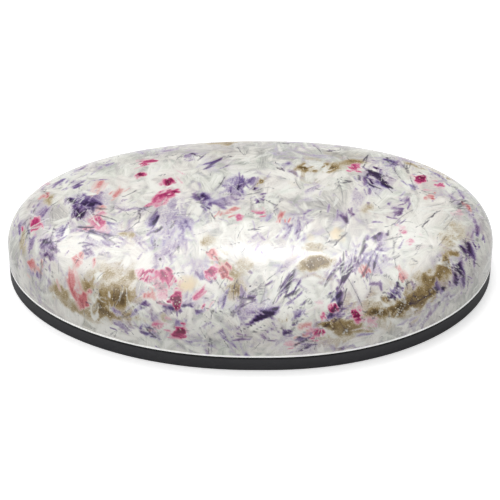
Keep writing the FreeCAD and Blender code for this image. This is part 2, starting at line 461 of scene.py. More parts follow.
def lay_patches(sheet, mineral, marks, fringe):
    """Cloudy patches of one mineral."""
    for x, y, length, width, tilt, strength in marks:
        place, along, across = sheet.window(x, y, 0.9 * max(length, width), tilt)
        away = np.hypot(along / (length / 2), across / (width / 2))
        lumps = sheet.lumps[place]
        mask = ease(0, 0.9, 1.15 - away + fringe * (lumps - 0.45))
        sheet.clear(place, 0.8 * mask, kept=(mineral, "ink"))
        sheet.blend(mineral, place, strength * (0.4 + 0.7 * lumps), mask)


def lay_line(sheet, x, y, length, tilt, bend, width, strength, mineral="ink"):
    """A thin seam, bowed by bend times its length, fading towards both ends."""
    place, along, across = sheet.window(x, y, 0.6 * length + 0.4, tilt)
    along = along / length
    bow = bend * length * (1 - 4 * along ** 2)
    wobble = 0.12 * (sheet.threads(along, 0.12, 1.2) - 0.5)
    across = across - bow + wobble
    taper = np.clip(1 - (2 * along) ** 2, 0, 1)
    mask = ease(0.07 + 0.6 * width, 0.0, np.abs(across)) * ease(0, 0.4, taper)
    amount = strength * (0.7 + 0.5 * sheet.threads(along, 0.06, 1.2))
    sheet.deepen(mineral, place, amount * mask)


def lay_feather(sheet, mineral, x, y, heading, size, count, fan):
    """Fine threads that spring from one point in a narrow fan."""
    draw = sheet.chance.uniform
    for turn in np.linspace(-0.5, 0.5, count) * fan:
        tilt = heading + turn + draw(-4, 4)
        length = size * draw(0.5, 1.1)
        out = length * draw(0.45, 0.6)
        lay_line(sheet, *ahead(x, y, tilt, out), length, tilt, draw(-0.05, 0.05),
                 draw(0.08, 0.15), draw(0.5, 1.0), mineral)


def lay_feathers(sheet, mineral, count, sizes):
    """Feathers of white or dark threads at random."""
    chance = sheet.chance
    draw = chance.uniform
    for _ in range(count):
        x, y = sheet.spot()
        lay_feather(sheet, mineral, x, y, draw(0, 360), draw(*sizes), chance.integers(3, 8), draw(12, 60))


def lay_threads(sheet, marks, each, stray):
    """Fine dark threads, scattered round marks and lying much as they do."""
    chance = sheet.chance
    draw = chance.uniform
    for x, y, _, _, tilt, _ in marks:
        for _ in range(each):
            lay_line(sheet, x + chance.normal(0, stray), y + chance.normal(0, stray),
                     draw(0.7, 2.8), tilt + chance.normal(0, 30),
                     draw(-0.08, 0.08), draw(0.08, 0.16), draw(0.45, 0.95))


# Where the coloured minerals lie: x, y, length and width in millimetres on the flat spread, tilt in
# degrees anticlockwise from +X, and strength.

BROWN_PATCHES = [
    (-17.3, -10.5, 8.4, 6.4, 10, 0.9), (-20.3, -13, 5.5, 2.4, -36, 0.55), (-16.6, -8, 4, 2.2, 20, 0.5),
    (7.8, -6.6, 4.4, 1.8, 4, 0.8), (16, -13.3, 5, 1.8, 10, 0.95), (19.3, -11.6, 5.5, 2.8, 35, 0.95),
    (21.6, -9.2, 4.6, 3.6, 60, 0.85), (11.5, -15.4, 6.4, 2.4, -5, 0.95), (8.5, 8.5, 6, 2.5, 8, 0.8),
    (12.4, 9.6, 4.6, 1.7, 12, 0.65), (-1.8, -10.2, 1.8, 2.6, 80, 1), (-2.5, -8.2, 3.4, 2.4, -30, 0.6),
    (-1.1, -6.6, 3, 2.8, 0, 0.35), (-5, -3.3, 2, 2.4, 0, 0.45), (7.8, -4.2, 3.4, 1.2, 0, 0.35),
    (24, -2.4, 3, 3.4, 70, 0.4), (24.2, -4.6, 1.8, 2.6, 110, 0.7), (-15, -2, 2.4, 1.1, -5, 0.6),
    (-10.4, -14, 1.5, 2.4, 20, 0.5), (4.3, -14.3, 2.2, 0.9, 20, 0.6), (16.4, -11.4, 2.2, 1.2, -15, 0.9),
    (14.4, 1.8, 1.8, 2.6, 80, 0.4), (1.2, 5.7, 1.3, 1.2, 30, 0.95), (-3.1, 13.9, 8, 1.6, 0, 0.6),
    (22.6, 9, 9, 1.3, -27, 0.5), (-28.2, -1.6, 5, 1.4, 85, 0.35), (-24.9, 3.8, 3.2, 1.6, 55, 0.55),
    (8.4, -16.6, 3, 1.4, 0, 0.6), (-23.4, -10.4, 5, 2.4, -50, 0.5), (23.6, -6.6, 3.8, 3.4, 60, 0.8),
    (-3.2, -7, 3.4, 1.8, -30, 0.85), (-15, -13.6, 5, 1.6, -20, 0.5), (25.2, -1, 3.6, 4.2, 70, 0.45),
    (20.6, -10.6, 4.4, 3.4, 50, 0.8),
]

PINK_BLADES = [
    (-10.1, 6.2, 2.2, 0.9, 100, 0.95), (-9.8, 4.3, 2.8, 1.1, 15, 0.8), (-11.1, 2.8, 3.4, 1.3, 58, 0.7),
    (-19, 0.2, 2.8, 2.6, 40, 0.55), (-13, 10.2, 3.6, 0.7, 8, 0.7), (-13.4, 7.4, 1.4, 1, 100, 0.95),
    (-26.5, 1.2, 3.8, 0.9, 84, 0.7), (-1.2, 0, 1.5, 0.8, 20, 0.55), (13.3, 8.7, 2.2, 1.1, -10, 0.7),
    (21.2, 7, 1.9, 1.2, -25, 1), (23.4, 6.3, 1.8, 0.6, -20, 0.65), (18.6, -1.1, 1.4, 1, 30, 0.4),
    (19.3, -3.1, 1.3, 0.8, -60, 0.45), (1, 0.9, 2.2, 0.5, 3, 0.6), (25.4, 1.7, 1.6, 1.1, 0, 0.25),
    (-12.5, -8, 2.2, 1.5, 60, 0.75), (-10.5, -9, 3.8, 1.4, -60, 0.8), (-9, -11.2, 1.7, 1.6, 0, 1.1),
    (-5.7, -10.5, 3.4, 0.7, 42, 0.5), (-4.6, -8.1, 1.8, 1.3, -30, 0.8), (-9, -16.1, 2.8, 1.2, -5, 0.9),
    (-11, -15.4, 2.6, 0.8, -10, 0.4), (8.8, -13.9, 0.9, 0.8, 0, 1), (13.1, -13.6, 1.6, 1.3, 0, 1),
    (10, -12.9, 1.6, 0.9, 40, 0.8), (8, -16.4, 2.8, 0.8, 5, 0.75), (8.6, -11.9, 1.4, 1.1, 0, 0.25),
    (15, -14.8, 3.2, 0.8, -5, 0.3), (5.2, -17.8, 2.6, 0.7, 0, 0.35), (-10.9, -10, 2.4, 1.8, 0, 0.3),
]

SALMON_BLADES = [
    (-16, 4.8, 3.2, 1.1, 60, 0.45), (-18.6, 5.6, 3.4, 1.5, 66, 0.4), (-21.4, -8, 5.6, 1.6, -79, 0.55),
    (-20.4, -10.8, 3, 1.8, -70, 0.65), (-26.8, -5.4, 3, 1.1, -72, 0.5), (-12, -10.4, 2, 1.1, -70, 0.5),
    (-4.3, -5.4, 2, 1.1, -62, 0.6), (-3.4, -7.2, 2.8, 1.2, -50, 0.8), (3.8, 0.8, 2.4, 0.7, 72, 0.5),
    (13.7, -6.9, 1.8, 0.9, 100, 0.6), (-18.2, 1.8, 2.2, 1.4, 70, 0.35), (18.4, -7.5, 2, 1.1, -50, 0.45),
    (-2.6, 0.9, 3.4, 0.7, 38, 0.45), (22.2, 4.4, 1.4, 0.9, -20, 0.6), (26.6, 3.4, 2.4, 0.6, -65, 0.5),
    (-25.2, 5.4, 2, 0.8, 50, 0.5), (-8, -10, 3, 0.8, 40, 0.6), (6.4, -15.6, 3, 0.9, 8, 0.5),
]

VIOLET_BLADES = [
    (-19.6, 3.7, 4.6, 2.2, -40, 0.85), (-20.5, 2, 3.4, 2.2, 80, 0.9), (-21.6, 6.4, 2, 1.3, 60, 0.6),
    (-18.6, -1.3, 4.2, 0.8, -22, 1), (-7.4, 10.8, 2.4, 1.7, 0, 0.4), (-4.6, 9.3, 3.8, 0.9, 38, 0.7),
    (-1.8, 5.6, 3.8, 2.6, 80, 0.65), (0.6, 5.8, 2.6, 1.6, 80, 0.55), (-4.9, 2.6, 4.4, 2.2, -55, 0.75),
    (-3, 2.6, 4.4, 2.4, -20, 0.4), (-11.9, -0.3, 3.2, 0.9, 55, 0.85), (-8.8, -1.8, 3.8, 1.3, 78, 0.5),
    (-10, -3.6, 4.4, 3, 70, 0.32), (-9.8, 1.2, 3.6, 2.6, 60, 0.28), (-24.8, -2.8, 2.6, 1.7, 22, 0.85),
    (-24, -4.4, 1.9, 1.3, -40, 0.5), (-19.6, -4.1, 2.2, 1.2, 5, 0.55), (15.8, 7.2, 3.6, 1, -38, 1),
    (14.1, 6, 2.8, 0.9, -78, 0.7), (17.9, 10.3, 3.2, 0.9, -22, 0.6), (17.9, 1.8, 2.2, 1.5, 20, 0.55),
    (19, 3.5, 1.5, 1.2, 60, 0.5), (11.7, 0.3, 2.2, 1.1, -72, 0.75), (15.7, -2.7, 2, 1.5, 70, 0.8),
    (15.2, -5.4, 4, 0.8, 74, 0.95), (1, 2.8, 1.8, 0.7, 10, 0.7), (5.7, -1, 2.8, 0.8, 88, 0.45),
    (11.9, -6.9, 5.6, 1.3, 66, 0.8), (13, -7, 3.4, 1, -65, 0.55), (4.1, -9.8, 4.8, 1, 60, 0.85),
    (1, -13.6, 5.6, 1.7, 14, 0.95), (-1.4, -12.8, 2.6, 0.9, 50, 0.5), (10.6, -11.4, 2.4, 1.5, 55, 0.85),
    (23, -8.9, 2, 1.6, -60, 0.9), (25.8, -5.8, 3, 1.3, -45, 0.95), (25.3, -7.6, 2, 1.3, -70, 0.8),
    (17.2, -10.4, 1.9, 0.8, -50, 0.75), (18, -10.2, 2, 0.8, 60, 0.75), (-7.1, -12.2, 2, 0.5, 3, 0.75),
    (-8.6, -15.1, 1.8, 1.1, -60, 0.55), (-5.2, -7.9, 3.4, 1.8, -50, 0.5), (-26.2, -6.3, 3.2, 0.9, 80, 0.6),
    (0.6, -3, 1.6, 0.8, 60, 0.35), (2, 0, 1.6, 1, 70, 0.35), (-17, -3, 3, 1.1, -10, 0.35),
    (-13.6, 1.4, 2.6, 1.2, 20, 0.25), (-15.4, 2.2, 3, 1.2, 0, 0.25), (20.2, 5.8, 2, 0.9, -70, 0.4),
    (-3.4, -11.6, 3.4, 0.9, 62, 0.45), (-0.8, -11, 2.8, 0.9, -72, 0.5), (3.6, -16.2, 3.4, 0.8, 8, 0.7),
    (-16.2, -13.4, 2.6, 1, -40, 0.35), (9.2, 10.6, 5, 1.2, -6, 0.2), (4.4, 11.2, 6, 1.4, 2, 0.16),
    (-1, -17, 3, 0.7, 15, 0.6), (-3.6, -16.4, 2.6, 0.8, -50, 0.5), (7, -18.2, 3, 0.6, 8, 0.5),
    (-12.6, -16.8, 2.8, 0.7, -20, 0.55), (-16, -15.4, 3.2, 0.8, -28, 0.5), (-25.6, 2.4, 4, 1.2, 70, 0.5),
    (-27, -1.8, 4, 1.2, 80, 0.45), (-24.4, 6.8, 4, 1, 45, 0.45), (-27.6, -5, 3.4, 0.9, -80, 0.45),
    (27.2, 1.6, 3.6, 1, -75, 0.4), (26.4, 5, 3.4, 0.9, -55, 0.4), (13.8, -16.6, 4, 0.7, 5, 0.4),
    (19.8, -14.6, 4, 0.8, 22, 0.35), (-18.6, 9.6, 4, 0.9, 28, 0.35), (-7, -17.6, 3.4, 0.7, -8, 0.45),
    (27.4, -3.4, 3.6, 1.2, -60, 0.9), (26.6, -7.6, 3.2, 1, -50, 0.8), (28.2, 0.2, 3, 0.9, 85, 0.6),
    (23.8, 8.2, 4.2, 0.9, -34, 0.5), (19.8, 11, 4.2, 0.9, -24, 0.45), (-21.8, 9.2, 4, 1, 36, 0.5),
    (-28.4, 1, 3.6, 0.9, 85, 0.5), (-10.6, 12.4, 4.4, 0.8, 12, 0.35), (5.6, -13.6, 3, 0.8, 38, 0.6),
    (7.4, -16.4, 6, 1, 18, 0.95), (10.2, -13.8, 4.4, 1.3, 58, 0.95), (16, 6, 3.4, 0.8, -44, 0.9),
    (-23.4, -1.2, 3, 1.2, 50, 0.6), (-13, -12.4, 4.4, 0.8, 28, 0.7), (-9, -12.6, 3.6, 0.8, -8, 0.7),
]

LILAC_PATCHES = [
    (-9.8, 0.4, 4.4, 9.4, -10, 0.45), (13.2, 3.4, 2.4, 4.4, 0, 0.35), (-2.6, 3.8, 5.8, 3.2, 0, 0.55),
    (-19.8, 3.6, 4.4, 4.6, 0, 0.55), (-25.4, 1.6, 3, 8, 20, 0.3),
]

CREAM_PATCHES = [
    (10.6, -2.2, 2.2, 2.4, 0, 0.9), (7.4, -2.8, 1.6, 1.2, 0, 0.4), (-7.3, -9.3, 3.8, 2.2, 8, 1.1),
]

# Dark seams: x, y of the middle, length, tilt, bow, width and strength.
SEAMS = [
    (-5.5, 1.8, 5.6, -62, 0.03, 0.26, 0.95), (-1, 4.1, 5.4, 3, -0.10, 0.2, 0.8),
    (1.4, 4.6, 2.2, 22, 0, 0.2, 0.7), (-10.9, 7.3, 1.2, 22, 0, 0.26, 0.95),
    (5.7, -1.2, 5.6, 90, 0.02, 0.13, 0.5), (4.7, -0.5, 2.2, 2, 0, 0.13, 0.5),
    (-1.7, -2, 1.8, 82, 0.05, 0.14, 0.6), (-3.3, -3.7, 2.6, 82, 0.10, 0.14, 0.6),
    (-4.4, -8.8, 4.8, -52, 0.04, 0.16, 0.75), (-9.3, -9, 3.2, 80, 0, 0.12, 0.55),
    (-10.4, -7.9, 3.2, -56, 0.03, 0.14, 0.6), (-17.5, -13.7, 3.4, -57, 0, 0.18, 0.6),
    (-26.6, 1.6, 7, 76, 0.05, 0.2, 0.8), (-24.6, -1, 3, 22, 0.06, 0.14, 0.6),
    (-23.2, -6.4, 4, 92, 0.04, 0.16, 0.65), (-25.8, -6, 3, 80, 0, 0.2, 0.7),
    (-20.9, 3.6, 5, 84, 0.04, 0.2, 0.75), (-18.4, -1.6, 4.6, -20, 0.02, 0.2, 0.8),
    (-14.6, -13, 4.6, 32, 0.04, 0.2, 0.8), (-10.8, -12.2, 4.4, -6, 0.08, 0.2, 0.7),
    (-7, -12.3, 2.4, 0, 0.03, 0.2, 0.7), (4, -9.8, 5.6, 58, 0.02, 0.18, 0.9),
    (7.4, -5.6, 2, 20, 0, 0.14, 0.5), (11.6, -8, 4.4, 64, 0.04, 0.18, 0.85),
    (13.6, -7.6, 3, -62, 0, 0.16, 0.8), (15, -6.6, 4.4, 74, 0, 0.16, 0.85),
    (14.6, -7.9, 1.8, -10, 0, 0.14, 0.8), (16.2, -8.2, 2.6, -12, 0.04, 0.12, 0.7),
    (14, -8.6, 1.4, 50, 0, 0.12, 0.7), (15.9, 7, 3.8, -38, -0.03, 0.2, 0.95),
    (20.2, 6.4, 3.2, -76, -0.06, 0.16, 0.85), (21.4, 4.6, 1.7, -22, 0, 0.14, 0.8),
    (22.5, 1.4, 1.6, 56, 0, 0.2, 0.95), (27, 1.8, 1.6, -35, 0.05, 0.16, 0.8),
    (25.8, -3.4, 3.4, 50, 0, 0.14, 0.7), (26.6, -4.6, 2.2, 20, 0.1, 0.12, 0.6),
    (24.9, -7, 3, -60, 0.06, 0.16, 0.8), (17.6, -2.6, 2.2, 32, 0, 0.12, 0.5),
    (19.6, -4.8, 4.2, 58, 0.10, 0.1, 0.4), (0.6, -14.6, 4.4, 20, 0.06, 0.16, 0.7),
    (-2.6, -15.4, 3.4, 52, 0.02, 0.12, 0.5), (6.8, -16.7, 4.6, 14, -0.05, 0.18, 0.75),
    (12.6, -13.2, 5.6, -4, 0.02, 0.14, 0.6), (8.4, 4.4, 3.6, -30, 0.06, 0.12, 0.5),
    (9, 3.2, 2.4, -34, 0, 0.12, 0.5), (-4.4, 9.4, 2.6, 36, 0, 0.16, 0.8),
    (0.2, 12.4, 2.4, -14, 0, 0.14, 0.5), (-14.6, 9.6, 3.6, 24, 0.05, 0.16, 0.6),
    (-22.6, 8.2, 3.8, 40, 0.08, 0.18, 0.6), (17.6, 9.6, 3, -28, 0.08, 0.12, 0.6),
    (23.6, 5.6, 4, -26, 0, 0.12, 0.55), (-8.6, -14.2, 3.2, -66, 0.08, 0.14, 0.6),
    (-12.4, -3.2, 4.6, -20, -0.05, 0.1, 0.4), (-17.6, -3.6, 2.2, -84, 0, 0.12, 0.5),
    (-1.6, -10.2, 3, 78, 0.12, 0.2, 0.9), (-2.9, -10.4, 2.6, 68, -0.10, 0.18, 0.8),
    (21.8, -12.6, 4, 22, 0.05, 0.12, 0.4), (8, -15.6, 6.4, 26, -0.06, 0.2, 0.95),
    (11.4, -11.6, 3.4, 76, 0.04, 0.18, 0.9), (21.4, 7.6, 2.6, -62, 0.1, 0.18, 0.9),
    (22, 5, 2.2, -14, -0.1, 0.16, 0.85), (-21.4, 4.6, 3.6, 80, -0.05, 0.2, 0.9),
    (-17.8, 0.6, 4, -24, 0.06, 0.2, 0.9),
]

# Small dark pits and grains: x, y and diameter.
PITS = [
    (-10.9, -5.8, 0.34), (8.6, 1, 0.22), (2.4, 2.6, 0.2), (5.4, 5.6, 0.16), (0, -9.8, 0.22),
    (-7, -14.4, 0.2), (-4, -14.6, 0.16), (10.2, -12.6, 0.24), (-11.2, -3.8, 0.16), (-13.8, 6.4, 0.2),
    (12.6, -9, 0.18),
]


def settle(marks):
    """Set marks down on this dome: near its top line they lie further forward than they were read."""
    drop = [DOME_SETBACK * max(0.0, 1 - (y / DOME_HALF_WIDTH) ** 2) for _, y, *_ in marks]
    return [(x, y - down, *rest) for (x, y, *rest), down in zip(marks, drop)]


def lay_pits(sheet):
    """Small dark pits."""
    for x, y, diameter in settle(PITS):
        place, east, north = sheet.window(x, y, diameter)
        sheet.deepen("ink", place, 1.3 * ease(0.8, 0.3, np.hypot(east, north) / diameter))


def unseen_marks(sheet, count, lengths, widths):
    """Marks for the back wall, which the photograph doesn't show, strewn along it at random."""
    draw = sheet.chance.uniform
    marks = []
    for _ in range(count):
        way = math.radians(draw(20, 160))
        out = draw(0.95, 1.06)
        marks.append((WIDEST_OFFSET + WALL_RING[0] * out * math.cos(way), WALL_RING[1] * out * math.sin(way),
                      draw(*lengths), draw(*widths), draw(0, 180), draw(0.4, 0.95)))
    return marks


def paint_sheet():
    """The whole pattern, from the pale ground up."""
    sheet = Sheet(PATTERN_SEED)
    violet = settle(VIOLET_BLADES) + unseen_marks(sheet, 22, (2.0, 4.5), (0.7, 1.8))
    pink = settle(PINK_BLADES) + unseen_marks(sheet, 10, (1.4, 3.4), (0.8, 1.5))
    brown = settle(BROWN_PATCHES) + unseen_marks(sheet, 8, (3.0, 7.0), (1.6, 3.2))
    salmon = settle(SALMON_BLADES)
    lay_bursts(sheet, 260, (5.0, 11.0), cover=0.9, shade=0.3, tinted=0.08)
    lay_haze(sheet, "violet", violet, 0.28)
    lay_haze(sheet, "pink", pink, 0.12)
    lay_haze(sheet, "brown", brown, 0.3)
    lay_bursts(sheet, 300, (3.0, 6.5), cover=0.85, shade=0.35, tinted=0.08)
    lay_bursts(sheet, 110, (1.6, 4.0), cover=0.8, shade=0.4, tinted=0.06)
    lay_patches(sheet, "brown", brown, fringe=1.0)
    lay_patches(sheet, "violet", settle(LILAC_PATCHES), fringe=0.8)
    lay_blades(sheet, "violet", violet, "fan", widen=2.2, soft=0.3)
    lay_slivers(sheet, "violet", violet, each=5, stray=1.6, deepest=1.05)
    lay_blades(sheet, "salmon", salmon, "strip", widen=1.9, soft=0.8)
    lay_patches(sheet, "cream", settle(CREAM_PATCHES), fringe=0.8)
    lay_bursts(sheet, 110, (1.2, 3.8), cover=0.8, shade=0.35, tinted=0.05)
    lay_blades(sheet, "pink", pink, "leaf", widen=2.4, soft=0.8)
    lay_slivers(sheet, "pink", pink, each=2, stray=0.8, deepest=0.6)
    for x, y, length, width, _, _ in brown:
        way = sheet.chance.uniform(0, 2 * math.pi)
        lay_burst(sheet, x + 0.45 * length * math.cos(way), y + 0.45 * width * math.sin(way),
                  sheet.chance.uniform(0, 360), size=0.4 * length, count=3, fan=70, light=1.0,
                  cover=0.6, shade=0.3)
    for seam in settle(SEAMS):
        lay_line(sheet, *seam)
    lay_threads(sheet, violet, each=5, stray=2.4)
    lay_threads(sheet, pink, each=2, stray=2.0)
    lay_threads(sheet, brown, each=1, stray=2.4)
    lay_feathers(sheet, "ink", 60, (1.5, 4.0))
    lay_bursts(sheet, 60, (0.8, 2.6), cover=0.7, shade=0.2, tinted=0.0)
    lay_feathers(sheet, "chalk", 340, (1.5, 4.5))
    lay_pits(sheet)
    # Partly painted shade and partly the stone's own greyer tint: the ground is darkened towards the back
    # and both ends.
    ends = np.maximum(ease(*GREY_RIGHT, sheet.across), ease(*GREY_LEFT, -sheet.across))
    back = ease(*GREY_BACK, sheet.up)
    sheet.amounts["light"] *= 1 - GREYER_TINT_AND_SHADE * np.maximum(back[:, None], ends[None, :])
    return sheet


# Meshes.

def add_object(name, data):
    """A new object in the scene."""
    item = bpy.data.objects.new(name, data)
    bpy.context.scene.collection.objects.link(item)
    return item


def build_crown(sheet):
    """The crown as a fine mesh that carries the pattern's amounts and a flat map for its maps."""
    points, spread, quads, underside = shape_crown(columns=340, rows=176, shoulder_rows=27, edge_rows=8)
    faces = [tuple(face) for block in quads for face in block.tolist()]
    faces += [tuple(face) for face in underside.tolist()]
    mesh = bpy.data.meshes.new("mottled_crown")
    mesh.from_pydata((points * MM).tolist(), [], faces)
    mesh.shade_smooth()
    for name in sheet.amounts:
        layer = mesh.attributes.new(name, "FLOAT", "POINT")
        layer.data.foreach_set("value", sheet.read(name, spread).astype(np.float32))
    corner_points = np.zeros(len(mesh.loops), dtype=np.int32)
    mesh.loops.foreach_get("vertex_index", corner_points)
    flat = spread / (2 * SHEET_HALF_LENGTH) + 0.5
    flat_map = mesh.uv_layers.new(name="OFBake")
    flat_map.data.foreach_set("uv", flat[corner_points].astype(np.float32).ravel())
    mesh.update()
    return add_object("mottled_crown", mesh)


# Materials.

STONE_IOR = 1.52
FIBRE_STRETCH = (0.55, 4.5, 0.0)
# How close together the painted glints lie, per millimetre.
PAINTED_GLINTS_PER_MM = 5.0
# How strongly the clear film glows: a painted highlight along the stone's foot.
FILM_PAINTED_GLOW = 0.35
PAPER_GLOW = 0.5
PAPER_IN_REFLECTIONS = 0.2

# The darker line at the top of the backing: how far down it reaches, and how far it takes to fade.
LINE_REACH = 0.45
LINE_FADE = 0.25


def colour(hex_code):
    """A screen colour such as F5F3EC, as the linear values that a shader takes."""
    parts = [int(hex_code[i:i + 2], 16) / 255 for i in (0, 2, 4)]
    linear = [part / 12.92 if part <= 0.04045 else ((part + 0.055) / 1.055) ** 2.4 for part in parts]
    return (*linear, 1.0)


class Graph:
    """A material's nodes. Each method adds one node and returns the output that the next one reads."""

    def __init__(self, name):
        self.material = bpy.data.materials.new(name)
        self.material.use_nodes = True
        self.nodes = self.material.node_tree.nodes
        self.links = self.material.node_tree.links
        self.shader = self.nodes["Principled BSDF"]

    def feed(self, node, values):
        """Link or set a node's inputs, given by name or number."""
        for key, value in values.items():
            if isinstance(value, bpy.types.NodeSocket):
                self.links.new(value, node.inputs[key])
            else:
                node.inputs[key].default_value = value

    def add(self, kind, values=None, **settings):
        """Add a node with its settings and inputs."""
        node = self.nodes.new(kind)
        for key, value in settings.items():
            setattr(node, key, value)
        self.feed(node, values or {})
        return node

    def amount(self, name):
        """One of the mesh's own amounts."""
        return self.add("ShaderNodeAttribute", attribute_name=name).outputs["Fac"]

    def math(self, operation, first, second=0.0, third=0.0, clamp=False):
        """One arithmetic step."""
        node = self.add("ShaderNodeMath", {0: first, 1: second, 2: third}, operation=operation,
                        use_clamp=clamp)
        return node.outputs["Value"]

    def times(self, first, second, clamp=False):
        """A product."""
        return self.math("MULTIPLY", first, second, clamp=clamp)

    def fit(self, value, gain, shift, clamp=False):
        """A value times its gain, plus a shift."""
        return self.math("MULTIPLY_ADD", value, gain, shift, clamp)

    def blend(self, part, first, second):
        """One colour laid over another."""
        return self.add("ShaderNodeMix", {0: part, 6: first, 7: second}, data_type="RGBA").outputs[2]

    def ramp(self, value, stops):
        """A colour that changes with a value. Each stop is its place and its screen colour."""
        node = self.add("ShaderNodeValToRGB", {0: value})
        while len(node.color_ramp.elements) < len(stops):
            node.color_ramp.elements.new(1.0)
        for element, (place, hex_code) in zip(node.color_ramp.elements, stops):
            element.position = place
            element.color = colour(hex_code)
        return node.outputs["Color"]

    def noise(self, vector, scale, detail=3.0, roughness=0.5, distortion=0.0):
        """Noise between 0 and 1."""
        node = self.add("ShaderNodeTexNoise", {"Vector": vector, "Scale": scale, "Detail": detail,
                                               "Roughness": roughness, "Distortion": distortion})
        return node.outputs["Fac"]

    def stretch(self, vector, factors, shift=(0.0, 0.0, 0.0)):
        """A vector times factors along each axis, plus a shift."""
        return self.add("ShaderNodeVectorMath", {0: vector, 1: factors, 2: shift},
                        operation="MULTIPLY_ADD").outputs[0]

    def place_mm(self):
        """The object's own coordinates, in millimetres."""
        return self.stretch(self.add("ShaderNodeTexCoord").outputs["Object"], (1 / MM,) * 3)

    def bump(self, height, strength, distance_mm):
        """Fine relief from a height."""
        node = self.add("ShaderNodeBump", {"Height": height, "Strength": strength,
                                           "Distance": distance_mm * MM})
        return node.outputs["Normal"]


def fibre_field(graph, place, turn, fineness, offset):
    """Fine straight fibres along the painted grain."""
    turned = graph.add("ShaderNodeVectorRotate", {"Vector": place, "Angle": graph.times(turn, -1.0)},
                       rotation_type="Z_AXIS").outputs[0]
    drawn = graph.stretch(turned, [fineness * factor for factor in FIBRE_STRETCH], (offset,) * 3)
    return graph.noise(drawn, 1.0, 3.0, 0.6, 0.2)


def painted_glints(graph, place, crystals):
    """Painted glints: pale dots of random size, in swarms, where crystals are, standing for light they
    catch.
    """
    spots = graph.add("ShaderNodeTexVoronoi", {"Vector": place, "Scale": PAINTED_GLINTS_PER_MM})
    lot = graph.add("ShaderNodeSeparateColor", {0: spots.outputs["Color"]})
    reach = graph.times(lot.outputs["Green"], 0.45)
    glint_dots = graph.math("LESS_THAN", spots.outputs["Distance"], reach)
    swarm = graph.fit(graph.noise(place, 0.9, 2.0), 0.9, 0.15)
    glint_dots = graph.times(glint_dots, graph.math("GREATER_THAN", lot.outputs["Blue"], swarm))
    return graph.times(glint_dots, crystals, clamp=True)


def make_stone():
    """The polished stone: a pale fibrous ground with violet, pink, brown and cream minerals in it."""
    graph = Graph("mottled_stone")
    place = graph.place_mm()
    turn = graph.amount("turn")
    coarse = fibre_field(graph, place, turn, 0.6, 3.0)
    fine = fibre_field(graph, place, turn, 1.5, 40.0)
    fibres = graph.math("ADD", graph.times(coarse, 0.5), graph.times(fine, 0.5))
    sway = graph.math("SUBTRACT", fibres, 0.5)
    speckle = graph.noise(place, 6.0, 2.0, 0.6)
    specks = graph.math("SUBTRACT", speckle, 0.5)

    def amount(name, gain, grain):
        """A mineral's painted amount, broken up by fibres and specks."""
        held = graph.amount(name)
        raised = graph.fit(sway, gain, held)
        raised = graph.fit(specks, grain, raised)
        return graph.times(raised, graph.times(held, 5.0, clamp=True), clamp=True)

    def stain(under, mineral, cover, stops):
        """A mineral laid over what is under it, in a colour that follows its amount."""
        return graph.blend(graph.times(mineral, cover, clamp=True), under, graph.ramp(mineral, stops))

    light = graph.fit(sway, 1.2, graph.amount("light"), clamp=True)
    cool = graph.ramp(light, [(0.0, "4A4A46"), (0.3, "8C8E88"), (0.6, "C2C8BE"), (0.8, "E6EADF"),
                              (1.0, "FDFEF7")])
    warm = graph.ramp(light, [(0.0, "4C3F44"), (0.3, "91878A"), (0.6, "CCC4C4"), (0.8, "ECE5DF"),
                              (1.0, "FFFBF4")])
    tint = graph.blend(graph.amount("warmth"), cool, warm)
    tint = graph.blend(amount("cream", 0.3, 0.2), tint, colour("F6E3BE"))

    violet = amount("violet", 0.8, 0.5)
    blue = graph.ramp(violet, [(0.0, "E9E7EC"), (0.25, "D2CCDC"), (0.5, "9C90BD"), (0.75, "675898"),
                               (1.0, "32284F")])
    plum = graph.ramp(violet, [(0.0, "ECE6EA"), (0.25, "D3C7D2"), (0.5, "A48CA8"), (0.75, "71517C"),
                               (1.0, "392442")])
    violet_colour = graph.blend(graph.amount("warmth"), blue, plum)
    tint = graph.blend(graph.times(violet, 3.0, clamp=True), tint, violet_colour)

    brown = amount("brown", 0.6, 0.45)
    tint = stain(tint, brown, 2.6, [(0.0, "E9E2D4"), (0.25, "CFC1A5"), (0.5, "A58E62"),
                                    (0.75, "756040"), (1.0, "3A2D1C")])
    salmon = amount("salmon", 0.6, 0.4)
    tint = stain(tint, salmon, 2.0, [(0.0, "F5E5E1"), (0.3, "EBBCB8"), (0.55, "DC8A8C"),
                                     (0.8, "B04E58"), (1.0, "672730")])
    pink = amount("pink", 0.7, 0.4)
    tint = stain(tint, pink, 2.0, [(0.0, "F6E2E8"), (0.25, "EFB9C9"), (0.5, "E07FA2"),
                                   (0.75, "C23D76"), (1.0, "7C1A48")])

    ink = graph.amount("ink")
    dark = graph.times(graph.fit(ink, 2.0, -0.7, clamp=True), 0.92)
    tint = graph.blend(dark, tint, colour("3A2F4A"))
    pale = graph.times(graph.fit(graph.amount("chalk"), 2.0, -0.7, clamp=True), 0.8)
    tint = graph.blend(pale, tint, colour("FAFBF5"))

    # Painted glints: pale gold dots laid into the base colour where brown, lilac and pink crystals are,
    # standing for light caught by them.
    lilac = graph.times(violet, graph.math("SUBTRACT", 0.75, violet))
    tinted = graph.fit(lilac, 4.0, graph.times(pink, 0.6))
    crystals = graph.math("MAXIMUM", graph.times(brown, 1.3), tinted)
    tint = graph.blend(graph.times(painted_glints(graph, place, crystals), 0.7), tint, colour("FFF6DC"))
    grains = graph.times(specks, graph.math("ADD", brown, 0.12))
    tint = graph.blend(graph.times(grains, 0.9, clamp=True), tint, colour("5A4A30"))

    rough = graph.fit(speckle, 0.05, graph.fit(brown, 0.12, 0.12))
    relief = graph.math("ADD", graph.times(fibres, 0.3), graph.times(speckle, brown))
    relief = graph.fit(ink, -0.6, relief)
    graph.feed(graph.shader, {"Base Color": tint, "Roughness": rough, "IOR": STONE_IOR,
                              "Normal": graph.bump(relief, 0.25, 0.02)})
    return graph.material


